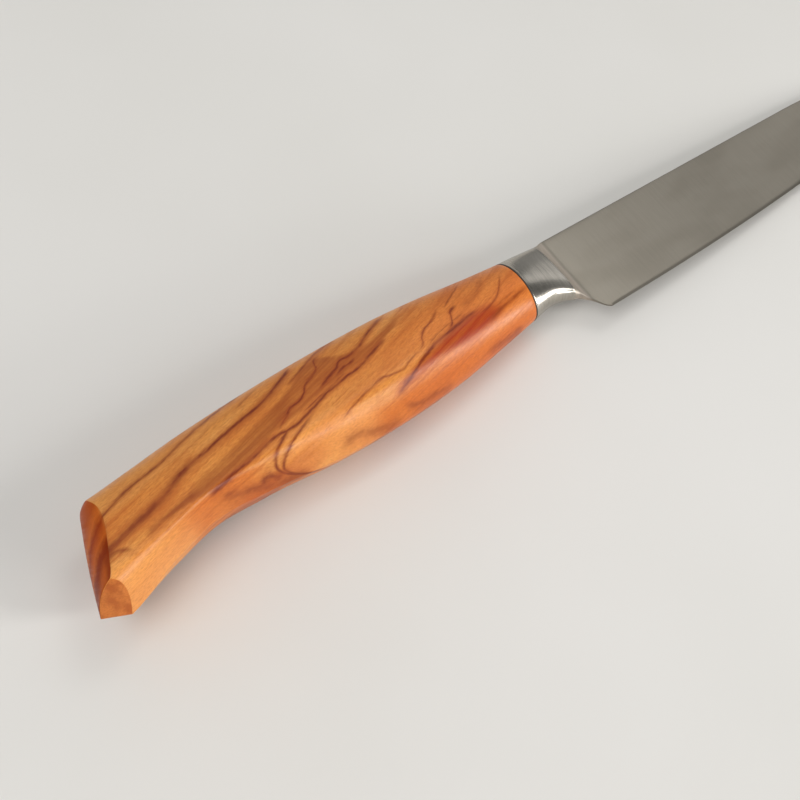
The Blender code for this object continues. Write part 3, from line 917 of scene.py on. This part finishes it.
class Grain:
    """Where each point of the wood lies in its grain, in millimetres, and the noise of its layers."""

    def __init__(self, wood):
        self.space = wood.knife_space(GRAIN_CLIMB)
        self.along, layer, self.across = wood.split(self.space)
        ripple = wood.drawn_noise(self.space, (0.35, 0.6, 0.5), (1.7, 9.2, 4.4))
        self.level = wood.sway(layer, ripple, 0.4)
        fibre = wood.drawn_noise(self.space, (0.45, 3.2, 2.4), (3.0, 1.0, 7.0), roughness=0.65)
        self.ragged = wood.sway(self.level, fibre, 0.7)
        self.cloud = self.layer_noise(wood, (0.035, 0.20, 0.05), 3.0, 0.5)
        self.streak = self.layer_noise(wood, (0.06, 1.6, 0.08), 4.0, 0.6)
        self.normal = wood.node("ShaderNodeTexCoord").outputs["Normal"]

    def layer_noise(self, wood, scales, detail, roughness):
        """Noise drawn out along the growth layers, which tilt from side to side."""
        tilted = wood.sum("MULTIPLY_ADD", self.across, 0.55, self.level)
        places = (self.along, tilted, self.across)
        scaled = wood.join(*(wood.times(place, scale) for place, scale in zip(places, scales)))
        return wood.noise(scaled, detail, roughness)


def ground_colour(wood, grain):
    """Honey brown in slow clouds, with fine growth lines and painted shade on the lower flank."""
    colour = wood.ramp(grain.cloud, [
        (0.30, srgb(196, 108, 40)),
        (0.46, srgb(214, 132, 54)),
        (0.60, srgb(224, 149, 68)),
        (0.75, srgb(232, 166, 88)),
    ])
    # yellower above, redder and deeper low down and towards the bolster
    forward = wood.sum("MULTIPLY_ADD", grain.along, 0.10, wood.times(grain.level, -0.12))
    colour = wood.blend(wood.span(forward, -6.5, -2.2, 0.0, 0.5), colour, srgb(218, 116, 48))
    # painted shade: the lower flank, picked by the way it faces, is darker and more orange, apart from
    # the belly and heel, which are painted lit
    flank_shade_stretches = wood.ramp(wood.span(grain.along, *GRAIN_ALONG, smooth=False), [
        (0.15, 0.0), (0.21, 1.0), (0.32, 1.0), (0.37, 0.1), (0.49, 0.1), (0.54, 1.0),
    ])
    painted_flank_shade = wood.span(wood.facing(grain.normal, (0, -1, 0)), 0.72, 0.88, 0.0, 0.62)
    colour = wood.blend(wood.times(flank_shade_stretches, painted_flank_shade), colour, srgb(208, 104, 30))
    colour = wood.blend(wood.span(grain.streak, 0.48, 0.70, 0.0, 0.50), colour, srgb(176, 86, 28))
    mottle = wood.drawn_noise(grain.space, (0.7, 2.2, 1.8), detail=4.0, roughness=0.7)
    return wood.blend(wood.span(mottle, 0.35, 0.68, 0.0, 0.35), colour, srgb(186, 92, 32))


def add_zones(wood, grain, colour):
    """Lays each zone's shade over the ground, the painted light on heel and belly among them, thinned
    where the growth lines are faint.
    """
    thinned = wood.span(grain.streak, 0.34, 0.60, 0.65, 1.0)
    for lower, upper, softness, strength, shade in ZONES:
        low, high = wood.curve(grain.along, lower), wood.curve(grain.along, upper)
        above = wood.span(wood.sum("SUBTRACT", grain.ragged, low), 0.0, softness)
        below = wood.span(wood.sum("SUBTRACT", high, grain.ragged), -softness / 2, softness)
        ends = wood.between(grain.along, lower[0][0], lower[-1][0], ZONE_FADE)
        zone = wood.times(wood.times(wood.times(above, below), ends), strength)
        colour = wood.blend(wood.times(zone, thinned), colour, srgb(*shade))
    return colour


def straight_veins(wood, grain):
    """The darkness of the veins together, and of the shade beside and below them."""
    dark, shade = 0.0, 0.0
    for points, half_width, strength, reach in VEINS:
        below = wood.sum("SUBTRACT", wood.curve(grain.along, points), grain.ragged)
        away = wood.sum("ABSOLUTE", below)
        first, last = sorted((points[0][0], points[-1][0]))
        ends = wood.between(grain.along, first, last, min(2.5, (last - first) * 0.3))
        core = wood.span(away, half_width * VEIN_CORE, 0.0, 0.0, strength)
        halo = wood.span(away, half_width * VEIN_HALO, half_width * 0.6, 0.0, strength * 0.55)
        soft = wood.span(below, reach, 0.0, 0.0, strength * 0.75)
        under = wood.times(soft, wood.span(below, -half_width, 0.0))
        dark = wood.larger(dark, wood.times(core, ends))
        shade = wood.larger(shade, wood.times(wood.larger(halo, under), ends))
    return dark, shade


def loop_veins(wood, grain):
    """Two veins that turn back in a loop: one arm over the ridge, the other down the flank."""
    dark, shade = 0.0, 0.0
    for place, top_level, high_arm, low_across, low_arm, half_width, strength in LOOP_VEINS:
        over = wood.larger(wood.sum("SUBTRACT", grain.ragged, top_level), 0.0)
        under = wood.larger(wood.sum("SUBTRACT", low_across, grain.across), 0.0)
        high, low = wood.times(over, high_arm), wood.times(under, low_arm)
        reach = wood.sum("MULTIPLY_ADD", over, high, wood.times(under, low))
        slope = wood.times(wood.sum("ADD", high, low), 2.0)
        ahead = wood.sum("SUBTRACT", wood.sum("SUBTRACT", grain.along, reach), place)
        steepness = wood.sum("SQRT", wood.sum("MULTIPLY_ADD", slope, slope, 1.0))
        away = wood.sum("ABSOLUTE", wood.sum("DIVIDE", ahead, steepness))
        dark = wood.larger(dark, wood.span(away, half_width * VEIN_CORE, 0.0, 0.0, strength))
        shade = wood.larger(shade, wood.span(away, half_width * VEIN_HALO, 0.0, 0.0, strength * 0.6))
    ends = wood.times(wood.span(grain.along, -62.0, -69.0), wood.span(grain.ragged, 7.4, 6.9))
    return wood.times(dark, ends), wood.times(shade, ends)


def add_veins(wood, grain, colour):
    """Brown shade first, then the dark lines, which fade here and there along their way."""
    dark, shade = straight_veins(wood, grain)
    loop_dark, loop_shade = loop_veins(wood, grain)
    fade = wood.drawn_noise(grain.space, (0.22, 0.4, 0.4), (5.0, 2.0, 1.0))
    dark = wood.times(wood.larger(dark, loop_dark), wood.span(fade, 0.34, 0.56, 0.50, 1.0))
    colour = wood.blend(wood.larger(shade, loop_shade), colour, srgb(160, 68, 16))
    return wood.blend(dark, colour, srgb(112, 32, 0))


def add_toe_facets(wood, grain, colour):
    """The toe facets are coloured darker."""
    ahead, upward, sideways = wood.split(grain.normal)
    one_side = wood.join(ahead, upward, wood.sum("ABSOLUTE", sideways))
    on_facet = wood.span(wood.facing(one_side, FACET), 0.94, 0.97, 0.0, 0.85)
    cloud = wood.drawn_noise(grain.space, (0.5, 0.35, 0.35), (6.0, 1.0, 2.0))
    cut = wood.blend(wood.span(cloud, 0.35, 0.65), srgb(176, 82, 24), srgb(210, 118, 50))
    return wood.blend(on_facet, colour, cut)


def end_grain_colour(wood, grain):
    """End grain drinks more oil: dark red-brown, with streaks where the veins come through."""
    slanted = wood.sum("MULTIPLY_ADD", grain.across, -0.60, grain.level)
    waver = wood.drawn_noise(grain.space, (0.2, 0.35, 0.35), (2.0, 4.0, 9.0), roughness=0.6)
    place = wood.sway(slanted, waver, 3.0)
    colour = wood.ramp(wood.span(place, 4.0, 20.0, smooth=False), [
        (0.00, srgb(174, 74, 18)),
        (0.25, srgb(188, 88, 24)),
        (0.36, srgb(136, 46, 6)),
        (0.42, srgb(142, 50, 6)),
        (0.50, srgb(198, 96, 28)),
        (0.60, srgb(178, 76, 20)),
        (0.67, srgb(152, 54, 10)),
        (0.76, srgb(202, 102, 34)),
        (0.92, srgb(178, 78, 20)),
    ])
    outermost = wood.span(grain.across, 6.6, 7.7, 0.0, 0.7)
    rim = wood.times(outermost, wood.span(grain.level, 15.5, 13.5))
    return wood.blend(rim, colour, srgb(128, 40, 8))


def olive_wood():
    """Oiled olive wood: honey ground, dark wandering veins, a redder heart, dark end grain."""
    wood = Finish("oiled_olive_wood")
    grain = Grain(wood)
    colour = ground_colour(wood, grain)
    colour = add_zones(wood, grain, colour)
    colour = add_veins(wood, grain, colour)
    colour = add_toe_facets(wood, grain, colour)
    end_grain = wood.span(wood.facing(grain.normal, -BUTT_INWARD), 0.45, 0.60)
    colour = wood.blend(end_grain, colour, end_grain_colour(wood, grain))

    pore = wood.drawn_noise(grain.space, (0.6, 7.0, 7.0), detail=2.0, roughness=0.6)
    pores = wood.span(pore, 0.62, 0.74)
    colour = wood.blend(wood.times(pores, 0.25), colour, srgb(104, 42, 12))
    fleck = wood.drawn_noise(grain.space, (1.1, 4.5, 4.5), (8.0, 3.0, 5.0), 2.0, 0.6)
    colour = wood.blend(wood.span(fleck, 0.40, 0.70, 0.0, 0.26), colour, srgb(150, 70, 24))
    wood.set(Base_Color=colour,
             Roughness=wood.span(grain.streak, 0.3, 0.7, 0.28, 0.42),
             Specular_IOR_Level=wood.span(end_grain, 0.0, 1.0, 0.30, 0.08))
    wood.bump(wood.sum("MULTIPLY_ADD", pores, -1.0, wood.times(grain.streak, 0.4)), 0.00002, 0.4)
    return wood.material


def satin_steel():
    """Blade steel: fine lines ground across the blade and round the brighter bolster, and a ramp tinted
    paler as a painted reflection.
    """
    steel = Finish("satin_blade_steel")
    space = steel.knife_space()
    along = steel.split(space)[0]
    coarse = steel.drawn_noise(space, (5.0, 0.10, 0.25), roughness=0.6)
    fine = steel.drawn_noise(space, (16.0, 0.25, 0.5), (3.0, 1.0, 4.0), 2.0, 0.6)
    lines = steel.sum("MULTIPLY_ADD", fine, 0.5, steel.times(coarse, 0.5))
    on_bolster = steel.span(along, -1.2, -2.4)
    on_ramp = steel.times(steel.span(along, -2.3, -2.1), steel.span(along, 0.7, -0.3))

    cloud = steel.drawn_noise(space, (0.05, 0.12, 0.12), detail=2.0)
    tint = steel.blend(steel.span(cloud, 0.35, 0.65), srgb(140, 133, 121), srgb(148, 141, 129))
    tint = steel.blend(on_bolster, tint, srgb(184, 178, 168))
    # painted reflection: the ramp is tinted paler for the bright band that it mirrors; it is also
    # ground rougher, which is its own finish
    tint = steel.blend(on_ramp, tint, srgb(194, 183, 170))
    line_depth = steel.span(on_bolster, 0.0, 1.0, 0.18, 0.34)
    ground_lines = steel.times(steel.span(lines, 0.42, 0.60), line_depth)
    tint = steel.blend(ground_lines, tint, srgb(118, 113, 105))

    rough = steel.sum("MULTIPLY_ADD", lines, 0.10, steel.span(on_bolster, 0.0, 1.0, 0.27, 0.20))
    rough = steel.sum("MULTIPLY_ADD", on_ramp, 0.28, rough)
    steel.set(Base_Color=tint, Metallic=1.0, Roughness=rough)
    steel.bump(lines, 0.000002, 0.35)
    return steel.material


def joint_adhesive():
    """Cured adhesive, nearly black, a little rough."""
    glue = Finish("dark_joint_adhesive")
    speck = glue.drawn_noise(glue.knife_space(), (2.0, 2.0, 2.0))
    glue.set(Base_Color=glue.blend(glue.span(speck, 0.35, 0.65), srgb(34, 27, 23), srgb(52, 42, 35)),
             Roughness=glue.span(speck, 0.3, 0.7, 0.5, 0.65))
    glue.bump(speck, 0.00001, 0.3)
    return glue.material


def pale_floor():
    floor = Finish("pale_floor")
    coordinate = floor.node("ShaderNodeTexCoord").outputs["Object"]
    cloud = floor.span(floor.drawn_noise(coordinate, (9.0, 9.0, 9.0)), 0.3, 0.7)
    floor.set(Base_Color=floor.blend(cloud, srgb(222, 219, 213), srgb(227, 224, 219)),
              Roughness=0.75)
    return floor.material


# Set


def set_floor():
    """A plain floor that belongs to the picture only."""
    bpy.ops.object.select_all(action="DESELECT")
    bpy.ops.mesh.primitive_plane_add(size=6.0, location=(0, 0, 0))
    floor = bpy.context.object
    floor.name = "floor"
    fix_place()
    floor.data.materials.append(pale_floor())


def softbox(name, azimuth, elevation, distance, width, height, power, roll=0.0):
    """A soft lamp that faces the middle of the handle; angles in degrees."""
    target = Vector((-0.03, 0.0, 0.01))
    lamp = bpy.data.lights.new(name, "AREA")
    lamp.shape = "RECTANGLE"
    lamp.size, lamp.size_y = width, height
    lamp.energy = power
    holder = bpy.data.objects.new(name, lamp)
    bpy.context.scene.collection.objects.link(holder)
    turn, climb = math.radians(azimuth), math.radians(elevation)
    level = math.cos(climb)
    away = Vector((math.cos(turn) * level, math.sin(turn) * level, math.sin(climb)))
    holder.location = target + away * distance
    rolled = Matrix.Rotation(math.radians(roll), 3, "Z")
    holder.rotation_euler = (away.to_track_quat("Z", "Y").to_matrix() @ rolled).to_euler()


def set_lights():
    """A low window in front on the right, a broad soft box high over the back, and small soft boxes."""
    softbox("window", -45, 21, 1.2, 0.25, 0.95, 8.7, roll=29)
    softbox("side_window", -72, 15, 1.2, 0.50, 0.30, 4.2)
    softbox("left_fill", -175, 56, 0.9, 0.60, 0.60, 3.0)
    softbox("overhead", 24, 60, 1.0, 0.30, 0.30, 0.8)
    softbox("far_card", 15, 20, 0.9, 0.20, 0.46, 0.19)


def set_sky():
    """Air that is brighter overhead and towards the back."""
    world = bpy.data.worlds.new("studio_air")
    bpy.context.scene.world = world
    world.use_nodes = True
    tree = world.node_tree
    direction = tree.nodes.new("ShaderNodeTexCoord").outputs["Generated"]
    toward = tree.nodes.new("ShaderNodeVectorMath")
    toward.operation = "DOT_PRODUCT"
    toward.inputs[1].default_value = (0.15, 0.55, 0.82)
    tree.links.new(direction, toward.inputs[0])
    level = tree.nodes.new("ShaderNodeMapRange")
    level.interpolation_type = "SMOOTHSTEP"
    level.inputs["From Min"].default_value = 0.35
    level.inputs["From Max"].default_value = 0.90
    level.inputs["To Min"].default_value = 0.14
    level.inputs["To Max"].default_value = 0.60
    tree.links.new(toward.outputs["Value"], level.inputs["Value"])
    background = tree.nodes["Background"]
    background.inputs["Color"].default_value = (0.97, 0.99, 1.0, 1.0)
    tree.links.new(level.outputs["Result"], background.inputs["Strength"])


def set_camera():
    """The view of the photograph: from above the end of the handle towards the blade."""
    data = bpy.data.cameras.new("photo_camera")
    data.lens = 54.0
    data.sensor_width = 36.0
    camera = bpy.data.objects.new("photo_camera", data)
    bpy.context.scene.collection.objects.link(camera)
    right = Vector((0.7951379, -0.60052779, 0.08439239))
    down = Vector((-0.49178199, -0.71996778, -0.48969058))
    forward = Vector((0.3548326, 0.34786889, -0.86780242))
    turning = Matrix((right, -down, -forward)).transposed()
    place = (-0.11763835, -0.07951370, 0.19723223)
    camera.matrix_world = Matrix.Translation(place) @ turning.to_4x4()
    bpy.context.scene.camera = camera


set_camera()
set_lights()
set_sky()
set_floor()

handle = make_handle()
handle.data.materials.append(olive_wood())
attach(handle, "root")
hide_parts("handle")

forging = make_forging()
forging.data.materials.append(satin_steel())
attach(forging, "root")
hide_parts("blade")

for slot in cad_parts["adhesive_bed"].material_slots:
    slot.material = joint_adhesive()

bpy.context.scene.view_settings.view_transform = "Standard"
